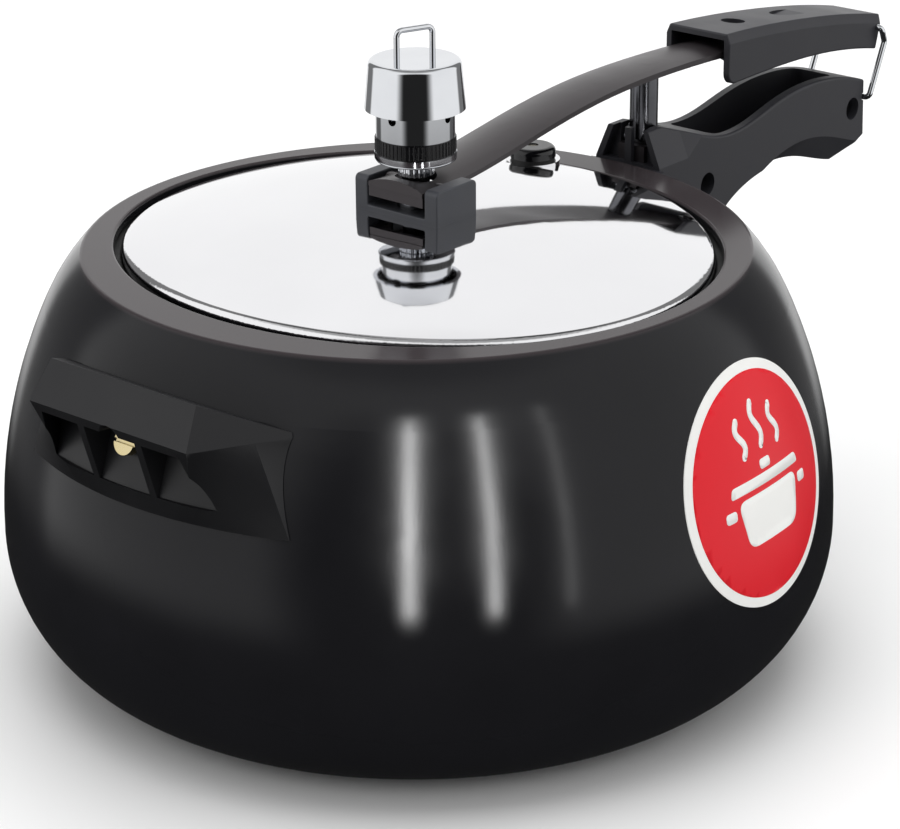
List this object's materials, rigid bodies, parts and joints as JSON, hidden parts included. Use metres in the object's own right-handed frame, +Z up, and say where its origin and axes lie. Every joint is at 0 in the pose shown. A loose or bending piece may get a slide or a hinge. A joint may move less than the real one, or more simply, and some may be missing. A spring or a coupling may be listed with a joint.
{
  "type": "stovetop pressure cooker",
  "caption": "Rounded black pot with an inner lid that a lever pulls up against the rim, a weighted pressure regulator, a long double handle and a short helper handle.",
  "frame": {"origin": "on the surface it stands on, under the middle of the pot", "axes": "+X along the long handles, +Z up, +Y to the left of the handles seen from the pot"},
  "size_m": [0.3539, 0.2442, 0.1869],
  "materials": {
    "anodised": "hard-anodised, satin black",
    "phenolic": "moulded phenolic, semi-matte",
    "lid_steel": "stainless steel, mirror polished",
    "bright_steel": "stainless steel, bright",
    "satin_steel": "stamped steel, dark satin",
    "plain_steel": "zinc-plated steel",
    "rivet": "aluminium",
    "rubber": "black rubber",
    "band": "black, glossy",
    "sticker": "red printed film with a white edge",
    "alloy": "fusible alloy"
  },
  "bodies": {
    "pot": {"pot_body": "anodised", "body_rivets": "rivet", "body_bracket": "satin_steel", "fulcrum_seat": "satin_steel", "body_handle_left": "phenolic", "body_handle_right": "phenolic", "body_handle_screws": "plain_steel", "body_handle_nuts": "plain_steel", "helper_handle": "phenolic", "helper_bracket": "plain_steel", "helper_screw": "bright_steel", "label": "sticker"},
    "lid": {"lid": "lid_steel", "gasket": "rubber", "lid_bracket": "phenolic", "bracket_pins": "plain_steel", "vent_tube": "bright_steel", "vent_nut": "bright_steel", "vent_seal": "rubber", "vent_locknut": "bright_steel", "valve_body": "band", "valve_plug": "alloy", "valve_seal": "rubber", "valve_nut": "bright_steel"},
    "lever": {"lever_bar": "satin_steel", "fulcrum_post": "bright_steel", "fulcrum_rivet": "satin_steel", "lid_handle": "phenolic", "lid_handle_screws": "plain_steel", "lid_handle_nut": "plain_steel"},
    "latch": {"latch_loop": "bright_steel"},
    "regulator": {"weight_body": "bright_steel", "weight_needle": "bright_steel", "weight_band": "band", "weight_base": "bright_steel", "weight_cap": "bright_steel", "weight_loop": "bright_steel"}
  },
  "joints": [
    {"name": "lever_swing", "type": "hinge", "parent": "pot", "child": "lever", "pos_m": [0.109, 0, 0.129], "axis": [0, -1, 0], "range_deg": [0, 6]},
    {"name": "lid_level", "type": "hinge", "parent": "lever", "child": "lid", "pos_m": [0, 0, 0.1389], "axis": [0, -1, 0], "range_deg": [-6, 0]},
    {"name": "latch_swing", "type": "hinge", "parent": "lever", "child": "latch", "pos_m": [0.2262, 0, 0.1412], "axis": [0, -1, 0], "range_deg": [0, 90]},
    {"name": "regulator_lift", "type": "slide", "parent": "lid", "child": "regulator", "axis": [0, 0, 1], "range_m": [0, 0.016]}
  ],
  "couplings": [
    {"joint": "lid_level", "follows": "lever_swing", "ratio": -1},
    {"joint": "latch_swing", "follows": "lever_swing", "ratio": 14}
  ]
}
